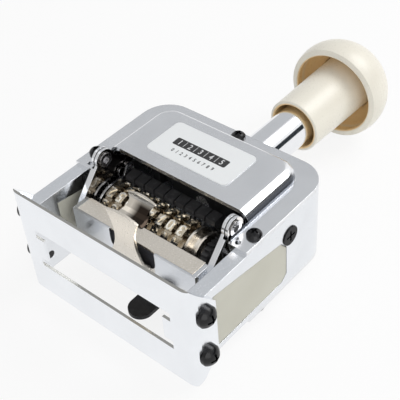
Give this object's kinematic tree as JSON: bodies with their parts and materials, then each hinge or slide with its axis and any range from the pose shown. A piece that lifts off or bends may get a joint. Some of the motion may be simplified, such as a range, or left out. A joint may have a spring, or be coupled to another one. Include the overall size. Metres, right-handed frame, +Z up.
{
  "type": "numbering machine",
  "caption": "Hand-held automatic numbering machine: a mushroom knob drives a sprung carriage of number wheels through a framed print window while an ink pad swings aside.",
  "frame": {"origin": "on the resting surface under the middle of the whole machine, as it lies on its side", "axes": "+X across the width, to the right when the print window faces the viewer; +Y along the plunger, from the print window towards the knob; +Z up, away from the surface that it lies on"},
  "size_m": [0.0856, 0.153, 0.0445],
  "materials": {
    "chrome": "polished plating",
    "satin_casting": "satin plated die casting",
    "nickel": "warm nickel plate, worn",
    "steel": "bare steel",
    "brass": "turned",
    "black_steel": "blackened steel",
    "cream_plastic": "semi-gloss moulded",
    "beige_panel": "fine matt moulding",
    "label_film": "pale printed film",
    "ink_felt": "inked felt"
  },
  "bodies": {
    "frame": {"base_plate": "chrome", "body_casting": "satin_casting", "front_cover": "chrome", "back_cover": "chrome", "side_panel_left": "beige_panel", "side_panel_right": "beige_panel", "label_plate": "label_film", "guide_tube": "chrome", "tube_nut": "steel", "guide_bush": "brass", "return_spring": "steel", "flange_screws": "black_steel", "front_cover_screws": "black_steel", "back_cover_screws": "black_steel", "side_screws": "black_steel", "arm_bracket_left": "chrome", "arm_bracket_right": "chrome", "arm_rivets": "steel", "lever_rivet": "steel"},
    "plunger": {"knob": "cream_plastic", "knob_sleeve": "cream_plastic", "plunger_stem": "steel", "spring_washer": "steel", "carriage_plate_left": "chrome", "carriage_plate_right": "chrome", "carriage_block": "black_steel", "wheel_axle": "steel", "axle_spacers": "steel", "cam_pins": "steel", "detent_comb": "black_steel"},
    "rocker": {"feed_rocker": "steel", "feed_shaft": "steel", "feed_pawl": "steel", "feed_spring": "steel"},
    "pad": {"pad_arm_left": "chrome", "pad_arm_right": "chrome", "pad_tray": "chrome", "pad_cassette": "nickel", "ink_pad": "ink_felt", "finger_tab": "nickel", "cassette_guard": "nickel"},
    "spool": {"repeat_spool": "nickel"},
    "ratchet": {"repeat_ratchet": "black_steel"},
    "lever": {"repeat_lever": "black_steel"},
    "wheel_1": {"wheel_1": "nickel"},
    "wheel_2": {"wheel_2": "nickel"},
    "wheel_3": {"wheel_3": "nickel"},
    "wheel_4": {"wheel_4": "nickel"},
    "wheel_5": {"wheel_5": "nickel"},
    "wheel_6": {"wheel_6": "nickel"},
    "wheel_7": {"wheel_7": "nickel"},
    "wheel_8": {"wheel_8": "nickel"}
  },
  "joints": [
    {"name": "plunger_slide", "type": "slide", "parent": "frame", "child": "plunger", "axis": [0, -1, 0], "range_m": [0, 0.0234], "stiffness_N_per_m": 600, "deforming": ["return_spring"]},
    {"name": "pad_swing", "type": "hinge", "parent": "frame", "child": "pad", "pos_m": [0, -0.0442, 0.0402], "axis": [-1, 0, 0], "range_deg": [0, 78]},
    {"name": "feed_swing", "type": "hinge", "parent": "plunger", "child": "rocker", "pos_m": [0, -0.0446, 0.0218], "axis": [1, 0, 0], "range_deg": [0, 36]},
    {"name": "repeat_lever_swing", "type": "hinge", "parent": "frame", "child": "lever", "pos_m": [0.0065, -0.0405, 0.0079], "axis": [0, 0, 1], "range_deg": [-10, 10]},
    {"name": "wheel_1_spin", "type": "hinge", "parent": "plunger", "child": "wheel_1", "pos_m": [0, -0.0446, 0.0218], "axis": [1, 0, 0], "continuous": true},
    {"name": "wheel_2_spin", "type": "hinge", "parent": "plunger", "child": "wheel_2", "pos_m": [0, -0.0446, 0.0218], "axis": [1, 0, 0], "continuous": true},
    {"name": "wheel_3_spin", "type": "hinge", "parent": "plunger", "child": "wheel_3", "pos_m": [0, -0.0446, 0.0218], "axis": [1, 0, 0], "continuous": true},
    {"name": "wheel_4_spin", "type": "hinge", "parent": "plunger", "child": "wheel_4", "pos_m": [0, -0.0446, 0.0218], "axis": [1, 0, 0], "continuous": true},
    {"name": "wheel_5_spin", "type": "hinge", "parent": "plunger", "child": "wheel_5", "pos_m": [0, -0.0446, 0.0218], "axis": [1, 0, 0], "continuous": true},
    {"name": "wheel_6_spin", "type": "hinge", "parent": "plunger", "child": "wheel_6", "pos_m": [0, -0.0446, 0.0218], "axis": [1, 0, 0], "continuous": true},
    {"name": "wheel_7_spin", "type": "hinge", "parent": "plunger", "child": "wheel_7", "pos_m": [0, -0.0446, 0.0218], "axis": [1, 0, 0], "continuous": true},
    {"name": "wheel_8_spin", "type": "hinge", "parent": "plunger", "child": "wheel_8", "pos_m": [0, -0.0446, 0.0218], "axis": [1, 0, 0], "continuous": true},
    {"name": "repeat_spool_spin", "type": "hinge", "parent": "plunger", "child": "spool", "pos_m": [0, -0.0446, 0.0218], "axis": [1, 0, 0], "continuous": true},
    {"name": "repeat_ratchet_spin", "type": "hinge", "parent": "plunger", "child": "ratchet", "pos_m": [0, -0.0446, 0.0218], "axis": [1, 0, 0], "continuous": true}
  ],
  "couplings": [
    {"joint": "pad_swing", "follows": "plunger_slide", "rad_per_m": 58.177},
    {"joint": "feed_swing", "follows": "plunger_slide", "rad_per_m": 26.851}
  ]
}
